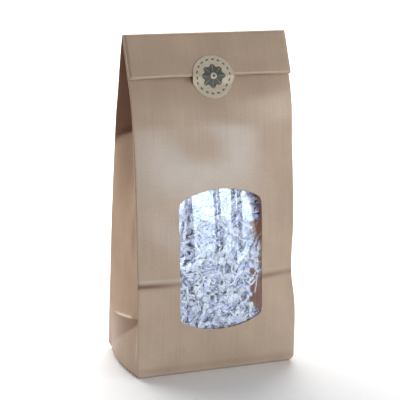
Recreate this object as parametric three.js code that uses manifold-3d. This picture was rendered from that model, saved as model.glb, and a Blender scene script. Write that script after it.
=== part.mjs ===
// A gusseted kraft paper bag with a see-through window, filled with shredded paper. Its mouth is
// pressed flat, folded down over the front and held by a round label.
// Millimetres. +Z is up and -Y is the front. The origin is under the base, at its middle.
import * as THREE from "three";
import { mergeVertices } from "three/addons/utils/BufferGeometryUtils.js";
import Module from "manifold-3d";

const wasm = await Module();
wasm.setup();

// Sheets and the air between them
const paperThickness = 0.2;
const filmThickness = 0.12;
const labelThickness = 0.15;
const layerGap = 0.4; // between two layers of the flattened mouth
const seatGap = 0.3; // between a piece and what it is stuck to or rests on

// Bag
const bagWidth = 120;
const bagDepth = 70;
const standingHeight = 238.8;
const flapLength = 30;
const foldInside = 0.8; // radius inside the fold at the top
const flapSpring = 0.8; // degrees by which the flap stands off the wall
const baseRound = 2.6; // how far the base lies inside the walls
const baseRoundHeight = 5;

// Form of the filled body
const shoulderHeight = 188; // the walls close in a straight wedge above this
const shoulderDepth = 36;
const bellyCurve = 1.8; // power by which the walls close in up to the shoulder
const bellyForward = 2;
const foldSetBack = 4.6;
const frontBulge = 4.5;
const backBulge = 3;
const sideBulge = 4.2;
const sideBulgeTop = 110;

// Gussets: a full inward fold above the buckle, and a shallow one just behind the front edge below
const buckleAtBack = 164;
const buckleAtFront = 188;
const buckleReach = 6;
const shallowFoldBottom = 92;
const shallowFoldShare = 0.3; // place of its crease, from the front edge to the back edge
const shallowFoldDepth = 0.42; // of a full fold's depth

// Creases left by the flat-packed bag
const creaseHeight = bagDepth;
const creaseOut = 0.5; // it stands out of the front wall by this
const creaseReach = 3; // half height of the crease
const pinchIn = 2.2; // the right edge is pinched in at the crease
const pinchBack = 3.5;
const pinchReach = 20;
const slackIn = 1.8; // from above the crease to the shoulder it stays a little slack
const slackRise = 25;
const slackFade = 28;
const tuckHeight = 45; // on each gusset a tuck starts here on the front edge
const tuckFall = 13; // its upper ridge falls by this towards the back edge
const tuckDepth = 2;
const tuckStart = 0.15; // share of the gusset's width over which it fades at each edge
const valleyShare = 0.94; // start of the valley on the front edge, as a share of the ridge's height

// Glued laps
const seamWidth = 14;
const seamMiddle = 26;
const baseLapDepth = 42;
const baseLapCorner = 14;

// Window, its film and the label
const windowWidth = 62.4;
const windowSide = 84; // straight part of each side
const windowRise = 8.7; // how far the arched top and bottom rise
const windowMiddle = 83;
const windowShift = 1.2;
const windowCorner = 4;
const filmMargin = 7;
const labelRadius = 15.3;
const labelBelowFlap = 0.8; // from the flap's edge down to the label's middle
const labelBridge = 0.9; // straight on past the flap's edge
const labelSettle = 6.5; // then down to the wall over this

// Shredded paper
const fillHeight = 168;
const fillShoulder = 9;
const fillInset = 5.5; // from the paper to the packed middle
const fillRuffle = 1.5; // its back goes in and out by this
const fillRufflePitch = 56;
const shredCount = 44;
const shredWidth = 4;
const shredThickness = 0.5;
const shredLength = 34;
const shredSink = 1.2; // how far a shred is set into the packed middle
const shredCurl = 0.9; // radians by which a shred turns along its length, at most
const shredLift = 1; // the least by which its middle stands off the packed middle

// Finishes
const kraftColour = 0xa8937c;
const labelColour = 0xb5a48c;
const filmColour = 0xe6ecf5;
const shredColour = 0xd3d9e8;

const halfWidth = bagWidth / 2;
const halfDepth = bagDepth / 2;
const halfPaper = paperThickness / 2;
const layerPitch = paperThickness + layerGap;
const stackDepth = 3 * layerPitch;
const foldRadius = foldInside + stackDepth / 2;
const foldStart = standingHeight - foldRadius - stackDepth / 2 - halfPaper;

const filmHalf = windowWidth / 2 + filmMargin;
const filmHalfHeight = windowSide / 2 + windowRise + filmMargin;
const filmPlaces = [-filmHalf, -windowWidth / 2, -windowWidth / 4, 0, windowWidth / 4, windowWidth / 2, filmHalf];

const { lerp, smoothstep, clamp, degToRad } = THREE.MathUtils;
const bell = (x, reach) => Math.exp(-((x / reach) ** 2));
const tent = (x, reach) => Math.max(0, 1 - Math.abs(x) / reach);
const crown = (x) => 1 - clamp(x / halfWidth, -1, 1) ** 2;

// Depth from the front wall to the back wall at a height
function bodyDepth(z) {
  if (z >= foldStart) return stackDepth;
  if (z > shoulderHeight)
    return lerp(shoulderDepth, stackDepth, (z - shoulderHeight) / (foldStart - shoulderHeight));
  return lerp(bagDepth, shoulderDepth, (z / shoulderHeight) ** bellyCurve);
}

const middleY = (z) =>
  foldSetBack * smoothstep(z, shoulderHeight, foldStart) - bellyForward * smoothstep(z, 0, creaseHeight);
const baseInset = (z) => baseRound * Math.max(0, 1 - z / baseRoundHeight) ** 2;
const bulgeAt = (z) => smoothstep(z, 0, creaseHeight) * (1 - smoothstep(z, shoulderHeight, foldStart));
const rightward = (x) => smoothstep(x, halfWidth / 3, halfWidth);
const pinch = (x, z) => rightward(x) * bell(z - creaseHeight, pinchReach);
const slackAt = (z) =>
  smoothstep(z, creaseHeight, creaseHeight + slackRise) *
  (1 - smoothstep(z, shoulderHeight - slackFade, shoulderHeight + slackFade));
const drawnIn = (x, z) => pinchIn * pinch(x, z) + slackIn * rightward(x) * slackAt(z);

// The front and back walls, as points [across, from front to back]
function frontPoint(x, z) {
  const edgeward = 0.4 + 0.6 * (x / halfWidth) ** 2;
  const crease = creaseOut * tent(z - creaseHeight, creaseReach) * edgeward;
  const wall = middleY(z) - bodyDepth(z) / 2 + baseInset(z);
  return [
    x * (1 - baseInset(z) / halfWidth) - drawnIn(x, z),
    wall - frontBulge * bulgeAt(z) * crown(x) - crease + pinchBack * pinch(x, z),
  ];
}

const backPoint = (x, z) => [
  x * (1 - baseInset(z) / halfWidth),
  middleY(z) + bodyDepth(z) / 2 - baseInset(z) + backBulge * bulgeAt(z) * crown(x),
];

// How far a gusset lies inside the straight line between its two edges. The paper keeps its
// length, so a full fold is as deep as half the bag's depth allows.
function gussetFold(share, z) {
  const full = Math.sqrt(Math.max(0, halfDepth ** 2 - (bodyDepth(z) / 2) ** 2));
  const buckle = lerp(buckleAtFront, buckleAtBack, share);
  const folded = smoothstep(z, buckle - buckleReach, buckle + buckleReach);
  const across = share < shallowFoldShare ? share / shallowFoldShare : (1 - share) / (1 - shallowFoldShare);
  const shallow = shallowFoldDepth * across * smoothstep(z, shallowFoldBottom, buckleAtBack);
  return full * lerp(shallow, 1 - Math.abs(2 * share - 1), folded);
}

// The tuck: a ridge that falls a little towards the back edge, over a valley down to the corner
function tuck(share, z) {
  const ridge = tuckHeight - tuckFall * share;
  const valley = tuckHeight * valleyShare * (1 - share);
  const above = (ridge - z) / (ridge - valley);
  const below = z / Math.max(valley, 1);
  const fade = smoothstep(Math.min(share, 1 - share), 0, tuckStart);
  return tuckDepth * fade * (1 - share / 2) * clamp(Math.min(above, below), 0, 1);
}

function gussetPoint(side, share, z) {
  const [, from] = frontPoint(side * halfWidth, z);
  const [, to] = backPoint(side * halfWidth, z);
  const middle = (from + to) / 2;
  const ends =
    share < 0.5
      ? [from + layerPitch, middle - layerPitch / 2, share * 2]
      : [middle + layerPitch / 2, to - layerPitch, share * 2 - 1];
  const bulge = sideBulge * (1 - smoothstep(z, 0, sideBulgeTop)) * 4 * share * (1 - share);
  const drawn = side > 0 ? drawnIn(halfWidth, z) * (1 - share) : 0;
  const inward = gussetFold(share, z) + tuck(share, z) + drawn + baseInset(z);
  return [side * (halfWidth - inward + bulge), lerp(...ends)];
}

// Places of the columns of the walls and gussets
const seamStep = 0.15;
const seamEdges = [seamMiddle + seamWidth / 2, seamMiddle - seamWidth / 2];
const frontPlaces = [-halfWidth, -halfWidth * 0.82, ...filmPlaces.map((x) => x + windowShift)];
frontPlaces.push(halfWidth * 0.82, halfWidth);
const backPlaces = [halfWidth, seamEdges[0] + seamStep, ...seamEdges, seamEdges[1] - seamStep];
backPlaces.push(-halfWidth * 0.2, -halfWidth * 0.6, -halfWidth);
const onSeam = (x) => x <= seamEdges[0] && x >= seamEdges[1];
const creaseSplit = 1e-4; // the two sides of the middle crease
const frontShares = [0, 0.15, 0.3, 0.5 - creaseSplit];
const gussetShares = [...frontShares, ...frontShares.map((share) => 1 - share).reverse()];

// One closed loop of the paper's middle at a height, from the left end of the front wall
function wallLoop(z) {
  return [
    ...frontPlaces.map((x) => frontPoint(x, z)),
    ...gussetShares.map((share) => gussetPoint(1, share, z)),
    ...backPlaces.map((x) => backPoint(x, z)),
    ...[...gussetShares].reverse().map((share) => gussetPoint(-1, share, z)),
  ];
}

// The loop moved along its own normals, outward if positive. The seam is a layer thicker outside.
function offsetLoop(loop, distance) {
  const count = loop.length;
  const firstBack = frontPlaces.length + gussetShares.length;
  const mostMiter = 1.6;
  return loop.map(([x, y], i) => {
    const [beforeX, beforeY] = loop[(i + count - 1) % count];
    const [afterX, afterY] = loop[(i + 1) % count];
    const before = Math.hypot(x - beforeX, y - beforeY);
    const after = Math.hypot(afterX - x, afterY - y);
    const normalX = (y - beforeY) / before + (afterY - y) / after;
    const normalY = -(x - beforeX) / before - (afterX - x) / after;
    const length = Math.hypot(normalX, normalY);
    const back = i - firstBack;
    const isSeam = distance > 0 && back >= 0 && back < backPlaces.length && onSeam(backPlaces[back]);
    const move = Math.min(2 / length, mostMiter) * (distance + (isSeam ? paperThickness : 0));
    return [x + (normalX / length) * move, y + (normalY / length) * move];
  });
}

// Heights of the rows, up to where the fold begins. The film's ends and the crease are kept.
function rowHeights() {
  const kept = [creaseHeight, windowMiddle - filmHalfHeight, windowMiddle + filmHalfHeight];
  const rows = [0, 0.25, 0.6, 1].map((k) => k * baseRoundHeight);
  rows.push(...[0.3, 0.5, 0.68, 0.84, 1, 1.15].map((k) => k * tuckHeight));
  rows.push(...[-1, -0.45, 0.45, 1].map((k) => creaseHeight + k * creaseReach));
  rows.push(...[0.2, 0.5, 0.8].map((k) => lerp(creaseHeight, buckleAtBack, k)));
  rows.push(...[-1, 0, 1, 2, 3].map((k) => buckleAtBack + k * buckleReach));
  rows.push(...[0, 0.25, 0.5, 0.75, 1].map((k) => lerp(shoulderHeight, foldStart, k)));
  const clear = rows.filter((z) => kept.every((other) => Math.abs(z - other) > 1));
  return [...kept, ...clear].sort((a, b) => a - b);
}

const heights = rowHeights();

// The flap hangs along the front wall, so it takes the wall's lean and bulge
const wallY = (z) => middleY(z) - bodyDepth(z) / 2;
const wallLean = Math.atan2(wallY(foldStart) - wallY(shoulderHeight), foldStart - shoulderHeight);
const flapLean = wallLean + degToRad(flapSpring);
const foldTurn = Math.PI - flapLean;

const wallStations = [
  ...heights.map((z) => ({ z, turn: 0, down: 0 })),
  ...[0.25, 0.5, 0.75, 1].map((k) => ({ z: foldStart, turn: foldTurn * k, down: 0 })),
  ...[0.2, 0.45, 0.7, 1].map((k) => ({ z: foldStart, turn: foldTurn, down: flapLength * k })),
];

// A point of the stack of layers. It rises, turns about the fold's axis and runs down the flap.
function place([x, y], { z, turn, down }) {
  if (turn === 0) return [x, y, z];
  const axisY = middleY(foldStart) - foldRadius;
  const bow = down > 0 ? frontBulge * bulgeAt(foldStart - down * Math.cos(flapLean)) * crown(x) : 0;
  const out = y - axisY + bow;
  return [
    x,
    axisY + out * Math.cos(turn) - down * Math.sin(turn),
    foldStart + out * Math.sin(turn) + down * Math.cos(turn),
  ];
}

function quad(faces, a, b, c, d) {
  faces.push([a, b, c], [a, c, d]);
}

function closedMesh(vertices, faces) {
  const geometry = new THREE.BufferGeometry();
  geometry.setAttribute("position", new THREE.Float32BufferAttribute(vertices.flat(), 3));
  geometry.setIndex(faces.flat());
  return geometry;
}

// A closed geometry as a solid, with its shared corners merged
function toManifold(geometry) {
  const bare = new THREE.BufferGeometry();
  bare.setAttribute("position", geometry.getAttribute("position"));
  bare.setIndex(geometry.index);
  const merged = mergeVertices(bare, 1e-4);
  return new wasm.Manifold(
    new wasm.Mesh({
      numProp: 3,
      vertProperties: new Float32Array(merged.getAttribute("position").array),
      triVerts: new Uint32Array(merged.index.array),
    }),
  );
}

function toGeometry(solid) {
  const mesh = solid.getMesh();
  const geometry = new THREE.BufferGeometry();
  geometry.setAttribute("position", new THREE.Float32BufferAttribute(mesh.vertProperties, 3));
  geometry.setIndex(new THREE.Uint32BufferAttribute(mesh.triVerts, 1));
  return geometry;
}

// The folded sheet as one shell: outer and inner skins, a closed base, and a rim round the mouth
function paperShell() {
  const vertices = [];
  const faces = [];
  const addSkin = (distance, floor) => {
    const first = vertices.length;
    for (const station of wallStations)
      for (const point of offsetLoop(wallLoop(station.z), distance)) {
        const [x, y, z] = place(point, station);
        vertices.push([x, y, Math.max(z, floor)]);
      }
    return first;
  };
  const outer = addSkin(halfPaper, 0);
  const inner = addSkin(-halfPaper, paperThickness);
  const outerBase = vertices.push([0, 0, 0]) - 1;
  const innerBase = vertices.push([0, 0, paperThickness]) - 1;
  const count = wallLoop(0).length;
  const rim = (wallStations.length - 1) * count;
  for (let i = 0; i < count; i++) {
    const j = (i + 1) % count;
    // Both skins are split along the same diagonals, so that they keep their distance
    for (let row = 0; row < rim; row += count) {
      quad(faces, outer + row + i, outer + row + j, outer + row + count + j, outer + row + count + i);
      quad(faces, inner + row + i, inner + row + count + i, inner + row + count + j, inner + row + j);
    }
    faces.push([outerBase, outer + j, outer + i], [innerBase, inner + i, inner + j]);
    quad(faces, outer + rim + i, outer + rim + j, inner + rim + j, inner + rim + i);
  }
  return closedMesh(vertices, faces);
}

// The window's outline: straight sides, arched top and bottom, rounded corners
function windowShape() {
  const half = windowWidth / 2;
  const radius = (half ** 2 + windowRise ** 2) / (2 * windowRise);
  const sweep = Math.asin(half / radius) - windowCorner / radius;
  const arc = (sign) => {
    const end = windowMiddle + (sign * windowSide) / 2;
    const steps = 12;
    return Array.from({ length: steps + 1 }, (_, i) => {
      const angle = lerp(sweep, -sweep, i / steps);
      return [radius * Math.sin(angle), end + sign * (radius * Math.cos(angle) - radius + windowRise)];
    });
  };
  const high = windowMiddle + windowSide / 2;
  const low = windowMiddle - windowSide / 2;
  const top = arc(1);
  const bottom = arc(-1).reverse();
  const shape = new THREE.Shape();
  shape.moveTo(half, low + windowCorner);
  shape.lineTo(half, high - windowCorner);
  shape.quadraticCurveTo(half, high, ...top[0]);
  for (const point of top.slice(1)) shape.lineTo(...point);
  shape.quadraticCurveTo(-half, high, -half, high - windowCorner);
  shape.lineTo(-half, low + windowCorner);
  shape.quadraticCurveTo(-half, low, ...bottom[0]);
  for (const point of bottom.slice(1)) shape.lineTo(...point);
  shape.quadraticCurveTo(half, low, half, low + windowCorner);
  return shape;
}

// A prism of a flat outline, ready to be joined or cut
function prism(shape, depth) {
  const geometry = new THREE.ExtrudeGeometry(shape, { depth, bevelEnabled: false, curveSegments: 3 });
  geometry.deleteAttribute("normal");
  geometry.deleteAttribute("uv");
  return mergeVertices(geometry);
}

// The window runs along Y through the front wall only
const windowPrism = () =>
  prism(windowShape(), bagDepth).rotateX(Math.PI / 2).translate(windowShift, 0, 0);

// The last-glued lap of the base, with its corners cut: it carries the bag
function baseLap() {
  const half = halfWidth - baseRound - paperThickness;
  const back = halfDepth - baseRound - paperThickness;
  const front = back - baseLapDepth;
  const shape = new THREE.Shape();
  shape.moveTo(-half, back);
  shape.lineTo(-half + baseLapCorner, front);
  shape.lineTo(half - baseLapCorner, front);
  shape.lineTo(half, back);
  shape.closePath();
  return prism(shape, paperThickness + halfPaper).translate(0, 0, -paperThickness);
}

function kraftBag() {
  const shell = toManifold(paperShell()).subtract(toManifold(windowPrism()));
  return toGeometry(shell.add(toManifold(baseLap())));
}

// A closed thin sheet over a grid. pointAt takes a row, a column and one of the two distances.
function sheet(rows, columns, pointAt, distances) {
  const vertices = [];
  const faces = [];
  const width = columns + 1;
  for (const distance of distances)
    for (let i = 0; i <= rows; i++)
      for (let j = 0; j <= columns; j++) vertices.push(pointAt(i, j, distance));
  const behind = (rows + 1) * width;
  for (let i = 0; i < rows; i++)
    for (let j = 0; j < columns; j++) {
      const a = i * width + j;
      quad(faces, a, a + 1, a + 1 + width, a + width);
      quad(faces, behind + a, behind + a + width, behind + a + 1 + width, behind + a + 1);
    }
  const edge = [];
  for (let j = 0; j < columns; j++) edge.push(j);
  for (let i = 0; i < rows; i++) edge.push(i * width + columns);
  for (let j = columns; j > 0; j--) edge.push(rows * width + j);
  for (let i = rows; i > 0; i--) edge.push(i * width);
  edge.forEach((a, k) => {
    const b = edge[(k + 1) % edge.length];
    quad(faces, behind + a, behind + b, b, a);
  });
  return closedMesh(vertices, faces);
}

// The film patch glued behind the window, bent to the front wall
function windowFilm() {
  const rows = heights.filter((z) => Math.abs(z - windowMiddle) <= filmHalfHeight + 1e-6);
  const behind = halfPaper + seatGap;
  const pointAt = (i, j, distance) => {
    const [x, y] = frontPoint(filmPlaces[j] + windowShift, rows[i]);
    return [x, y + distance, rows[i]];
  };
  return sheet(rows.length - 1, filmPlaces.length - 1, pointAt, [behind, behind + filmThickness]);
}

// A point of the label, a lift away from the paper. reach is measured down from the flap's edge:
// the label lies on the flap, runs a little straight on and then bends to the wall.
function labelPoint(x, reach, lift) {
  const face = middleY(foldStart) + stackDepth / 2 + halfPaper + lift;
  const straight = Math.min(reach, labelBridge);
  const onFlap = place([x, face], { z: foldStart, turn: foldTurn, down: flapLength + straight });
  const rest = reach - straight;
  const z = onFlap[2] - rest;
  const onWall = frontPoint(x, z)[1] - halfPaper - lift;
  return [x, lerp(onFlap[1] - rest * Math.tan(flapLean), onWall, smoothstep(rest, 0, labelSettle)), z];
}

// The label as a stack of level chords of a circle, with a chord at each end of the bridge
function roundLabel() {
  const chords = 20;
  const columns = 6;
  const blunt = 0.35; // of a step, so that the first and last chords have a length
  const reaches = [0, labelBridge];
  for (let i = 0; i <= chords; i++) {
    const angle = (Math.PI * (i + blunt)) / (chords + 2 * blunt);
    reaches.push(labelBelowFlap + labelRadius * Math.cos(angle));
  }
  reaches.sort((a, b) => b - a);
  const pointAt = (i, j, lift) => {
    const half = Math.sqrt(labelRadius ** 2 - (reaches[i] - labelBelowFlap) ** 2);
    return labelPoint(lerp(-half, half, j / columns), reaches[i], lift);
  };
  return sheet(reaches.length - 1, columns, pointAt, [seatGap + labelThickness, seatGap]);
}

// The packed middle of the filling, clear of the film and of the gussets, with a sloping top edge
function packedMiddle() {
  const rows = 10;
  const across = 6;
  const vertices = [];
  const faces = [];
  const low = paperThickness + seatGap;
  const levels = [...Array(rows).keys()].map((i) => lerp(low, fillHeight - fillShoulder, i / (rows - 1)));
  for (const z of [...levels, fillHeight]) {
    const slope = z === fillHeight ? fillShoulder : 0;
    const deepest = Math.max(...gussetShares.map((share) => gussetFold(share, z)));
    const half = halfWidth - deepest - fillInset - slope;
    const ruffle = fillRuffle * (Math.sin((z / fillRufflePitch) * 2 * Math.PI) - 1);
    const places = [...Array(across + 1).keys()].map((j) => lerp(-half, half, j / across));
    for (const x of places) vertices.push([x, frontPoint(x, z)[1] + fillInset + slope, z]);
    for (const x of places.reverse())
      vertices.push([x, backPoint(x, z)[1] - fillInset + ruffle - slope, z]);
  }
  const ring = 2 * (across + 1);
  const top = rows * ring;
  for (let row = 0; row < top; row += ring)
    for (let j = 0; j < ring; j++) {
      const next = (j + 1) % ring;
      quad(faces, row + j, row + next, row + ring + next, row + ring + j);
    }
  for (let j = 0; j < across; j++) {
    const back = ring - 1 - j;
    quad(faces, j + 1, j, back, back - 1);
    quad(faces, top + j, top + j + 1, top + back - 1, top + back);
  }
  return closedMesh(vertices, faces);
}

// A seeded random number from 0 to 1, the same every time
function randomSource(seed) {
  let state = seed;
  return () => {
    state = (state * 1664525 + 1013904223) % 4294967296;
    return state / 4294967296;
  };
}

// One shred behind the film: a bent ribbon that arches out of the packed middle and back in
function shred(random) {
  const reachX = windowWidth / 2 + filmMargin / 2;
  const reachZ = windowSide / 2 + windowRise;
  const middleX = windowShift + lerp(-reachX, reachX, random());
  const middleZ = windowMiddle + lerp(-reachZ, reachZ, random());
  const heading = random() * Math.PI;
  const curl = lerp(-shredCurl, shredCurl, random());
  const length = shredLength * lerp(0.6, 1.1, random());
  const width = shredWidth * lerp(0.7, 1.2, random());
  const nearest = halfPaper + seatGap + filmThickness + seatGap + shredThickness;
  const crest = lerp(nearest, fillInset - shredLift, random() * 0.75);
  const steps = 4;
  const corners = [[1, 0], [-1, 0], [-1, 1], [1, 1]];
  const vertices = [];
  const faces = [];
  for (let i = 0; i <= steps; i++) {
    const along = i / steps - 0.5;
    const angle = heading + curl * along;
    const depth = lerp(crest, fillInset + shredSink, (2 * along) ** 2);
    for (const [side, thick] of corners) {
      const x = middleX + length * along * Math.cos(angle) - (side * width * Math.sin(angle)) / 2;
      const z = middleZ + length * along * Math.sin(angle) + (side * width * Math.cos(angle)) / 2;
      vertices.push([x, frontPoint(x, z)[1] + depth + thick * shredThickness, z]);
    }
  }
  const end = steps * corners.length;
  for (let i = 0; i < end; i += 4)
    for (let k = 0; k < 4; k++) {
      const next = (k + 1) % 4;
      quad(faces, i + k, i + next, i + next + 4, i + k + 4);
    }
  quad(faces, 3, 2, 1, 0);
  quad(faces, end, end + 1, end + 2, end + 3);
  return closedMesh(vertices, faces);
}

function shreddedPaper() {
  const random = randomSource(20);
  let fill = toManifold(packedMiddle());
  for (let i = 0; i < shredCount; i++) fill = fill.add(toManifold(shred(random)));
  return toGeometry(fill);
}

function piece(name, geometry, material) {
  geometry.computeVertexNormals();
  const mesh = new THREE.Mesh(geometry, new THREE.MeshStandardMaterial(material));
  mesh.name = name;
  return mesh;
}

const bag = new THREE.Group();
bag.name = "windowed_paper_bag";
bag.position.z = paperThickness; // the base lap is under the rest
bag.add(piece("kraft_bag", kraftBag(), { color: kraftColour, roughness: 0.55, metalness: 0 }));
bag.add(
  piece("window_film", windowFilm(), {
    color: filmColour,
    roughness: 0.08,
    metalness: 0,
    transparent: true,
    opacity: 0.2,
  }),
);
bag.add(piece("round_label", roundLabel(), { color: labelColour, roughness: 0.6, metalness: 0 }));
bag.add(piece("shredded_paper", shreddedPaper(), { color: shredColour, roughness: 0.8, metalness: 0 }));

export default bag;
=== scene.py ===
# A windowed kraft paper bag, filled with shredded paper and closed with a round label.
import math
import bpy
import numpy as np
from mathutils import Matrix, Vector


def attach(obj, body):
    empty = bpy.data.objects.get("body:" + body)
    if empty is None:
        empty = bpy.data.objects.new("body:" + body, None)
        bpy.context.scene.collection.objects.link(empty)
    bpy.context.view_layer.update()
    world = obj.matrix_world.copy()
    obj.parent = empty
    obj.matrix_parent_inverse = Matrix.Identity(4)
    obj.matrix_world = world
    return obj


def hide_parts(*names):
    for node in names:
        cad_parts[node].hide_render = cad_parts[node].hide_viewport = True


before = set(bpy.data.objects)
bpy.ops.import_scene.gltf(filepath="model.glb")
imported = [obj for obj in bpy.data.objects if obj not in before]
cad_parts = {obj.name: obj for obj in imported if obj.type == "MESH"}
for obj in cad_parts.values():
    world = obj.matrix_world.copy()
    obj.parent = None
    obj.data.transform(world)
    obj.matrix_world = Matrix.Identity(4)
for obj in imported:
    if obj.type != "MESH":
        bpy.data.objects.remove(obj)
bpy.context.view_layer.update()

mm = 0.001  # sizes are in millimetres below, and Blender's unit is the metre


# Small helpers

def smooth(x, low, high):
    # 0 below low, 1 above high, and 3t^2 - 2t^3 between them
    t = np.clip((x - low) / (high - low), 0, 1)
    return t * t * (3 - 2 * t)


def bell(x, reach):
    # falls off as exp(-(x / reach)^2)
    return np.exp(-(x / reach) ** 2)


def mix(a, b, t):
    # a straight blend, a at t = 0 and b at t = 1
    return a + (b - a) * t


def waves(x, z, seed, count, lengths):
    # a sum of plane sine waves of random direction and length, about -1 to 1
    draw = np.random.default_rng(seed)
    total = np.zeros(np.broadcast(x, z).shape)
    for _ in range(count):
        length = draw.uniform(*lengths)
        turn = draw.uniform(0, math.pi)
        phase = draw.uniform(0, 2 * math.pi)
        total += np.sin((x * math.cos(turn) + z * math.sin(turn)) * 2 * math.pi / length + phase)
    return total / math.sqrt(count * 2)


def stretches(plan, end):
    # evenly spaced values: the plan gives each stretch's start and its number of steps
    stops = [start for start, _ in plan[1:]] + [end]
    values = [np.linspace(start, stop, count, endpoint=False) for (start, count), stop in zip(plan, stops)]
    return np.concatenate(values + [[end]])


def gridFaces(rows, columns, closed=False):
    # quads over a grid of points in row order; closed joins the last column to the first
    i, j = np.meshgrid(np.arange(rows - 1), np.arange(columns if closed else columns - 1), indexing="ij")
    a = i * columns + j
    b = i * columns + (j + 1) % columns
    return np.stack([a, b, b + columns, a + columns], -1).reshape(-1, 4)


def ringFaces(index, flip=False):
    # quads between closed rings of point numbers, one ring in each row; flip turns them over
    a, b = index[:-1], index[1:]
    faces = np.stack([a, np.roll(a, -1, 1), np.roll(b, -1, 1), b], -1).reshape(-1, 4)
    return faces[:, [1, 0, 3, 2]] if flip else faces


def fanFaces(ring, tip, flip=False):
    # triangles from a closed ring of point numbers to one tip
    faces = np.stack([ring, np.roll(ring, -1), np.full(len(ring), tip)], -1)
    return faces[:, [1, 0, 2]] if flip else faces


def addMesh(name, points, faces, uv=None, smoothShade=True):
    # points in millimetres as rows of x, y, z; uv has one pair for each point, also in millimetres
    mesh = bpy.data.meshes.new(name)
    mesh.from_pydata((points * mm).tolist(), [], faces)
    if uv is not None:
        layer = mesh.uv_layers.new(name="paperUV")
        corners = np.empty(len(mesh.loops), dtype=np.int32)
        mesh.loops.foreach_get("vertex_index", corners)
        layer.data.foreach_set("uv", (uv * mm)[corners].astype(np.float32).ravel())
    mesh.polygons.foreach_set("use_smooth", [smoothShade] * len(mesh.polygons))
    mesh.update()
    piece = bpy.data.objects.new(name, mesh)
    bpy.context.scene.collection.objects.link(piece)
    return piece


def addValues(piece, name, values):
    # one number for each point, for the materials to read
    layer = piece.data.attributes.new(name, "FLOAT", "POINT")
    layer.data.foreach_set("value", np.asarray(values, dtype=np.float32).ravel())


def addWall(piece, thickness):
    # gives a sheet its thickness, half of it on each side
    wall = piece.modifiers.new("wall", "SOLIDIFY")
    wall.thickness = thickness * mm
    wall.offset = 0
    return wall


# Helpers for materials

def addNode(tree, kind, inputs=None, **settings):
    # an input that is given a socket is linked to it, and any other value is set on the input itself
    node = tree.nodes.new("ShaderNode" + kind)
    for key, value in settings.items():
        setattr(node, key, value)
    for key, value in (inputs or {}).items():
        socket = node.inputs[key]
        if isinstance(value, bpy.types.NodeSocket):
            tree.links.new(value, socket)
        elif socket.type == "RGBA":
            socket.default_value = (*value, 1)
        else:
            socket.default_value = value
    return node


def newMaterial(name):
    material = bpy.data.materials.new(name)
    material.use_nodes = True
    material.node_tree.nodes.clear()
    return material, material.node_tree


def setSurface(tree, kind, inputs):
    # the last shader of a material, joined to its output
    addNode(tree, "OutputMaterial", {"Surface": addNode(tree, kind, inputs).outputs[0]})


def attribute(tree, name):
    return addNode(tree, "Attribute", attribute_name=name).outputs["Fac"]


def objectPlace(tree):
    return addNode(tree, "TexCoord").outputs["Object"]


def noise(tree, source, scale, detail, roughness=0.5):
    # cloudy noise with its own scale along each axis, in lumps for each metre
    placed = addNode(tree, "Mapping", {"Vector": source, "Scale": scale}).outputs[0]
    inputs = {"Vector": placed, "Scale": 1.0, "Detail": detail, "Roughness": roughness}
    return addNode(tree, "TexNoise", inputs).outputs["Fac"]


def ramp(tree, source, stops):
    # a ramp between two stops, each a place and a colour
    node = addNode(tree, "ValToRGB", {0: source})
    for element, (place, colour) in zip(node.color_ramp.elements, stops):
        element.position = place
        element.color = (*colour, 1)
    return node.outputs[0]


def mixColour(tree, a, b, factor, blend="MIX"):
    inputs = {0: factor, 6: a, 7: b}
    return addNode(tree, "Mix", inputs, data_type="RGBA", blend_type=blend).outputs[2]


def multiply(tree, a, b, clamp=False):
    # clamp keeps the product from 0 to 1
    return addNode(tree, "Math", {0: a, 1: b}, operation="MULTIPLY", use_clamp=clamp).outputs[0]


def remap(tree, source, before, after, curve="LINEAR"):
    # carries the range before onto the range after, and stays within it
    inputs = {
        "Value": source,
        "From Min": before[0], "From Max": before[1],
        "To Min": after[0], "To Max": after[1],
    }
    return addNode(tree, "MapRange", inputs, interpolation_type=curve).outputs[0]


# Form of the bag: the solid model's, with a lower crease, crisper folds in the gussets and uneven paper.
# A pair named Start, End or Fade is the range over which something fades in or out.

bag = dict(
    width=120, depth=70, height=238.8, flap=30, paper=0.2, lap=0.2,
    layerPitch=0.6, foldInside=0.8, flapSpring=0.8,  # stacked layers, and degrees that the flap stands off
    baseRound=2.6, baseRoundHeight=5,
    shoulder=188, shoulderDepth=36, shoulderTurn=5, bellyCurve=1.8, bellyForward=2, foldSetBack=4.6,
    frontBulge=4.5, backBulge=3, sideBulge=4.2, sideBulgeTop=110,
    buckleBack=164, buckleFront=188, buckleReach=5,  # the gusset is folded in above this slanted line
    shallowBottom=92, shallowShare=0.3, shallowDepth=0.42,  # and has a shallow fold under it
    crease=70, creaseOut=0.38, creaseReach=3, creaseMiddle=0.4,  # lower by this share in the middle
    pinchIn=2.2, pinchBack=3.5, pinchReach=20,  # the right front edge at the crease
    slack=1.8, slackRise=25, slackFade=28,  # and above the crease
    tuck=45, tuckFall=13, tuckDepth=3.2, tuckStart=0.1, valleyShare=0.94,  # low on the gussets
    lip=1.3, lipRise=1.2, lipReach=2.4, lipFade=(0.6, 0.9),  # along the tuck's ridge
    seam=26, seamWidth=14, seamStep=0.2, seamFade=(195, 222),
    dent=1.4, dentMiddle=-12, dentReach=26, dentStart=(128, 185), dentEnd=(188, 226),  # under the label
    waviness=0.22, waveCount=9, waveLengths=(28, 75), waveStart=(2, 25), waveEnd=30, frontSeed=3, backSeed=4,
    flapWaviness=0.5, flapWaveCount=5, flapWaveLengths=(30, 80), flapWaveStart=(2, 24), flapSeed=8,
)
window = dict(
    width=62.4, side=84, rise=8.7, middle=83, shift=1.2, corner=4, margin=7,
    patch=(22, 146), patchEdge=4,  # rings replace the grid between these heights, this many columns in
    rings=21, ringEase=1.15, sidePoints=60, cornerPoints=12,
)

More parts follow.
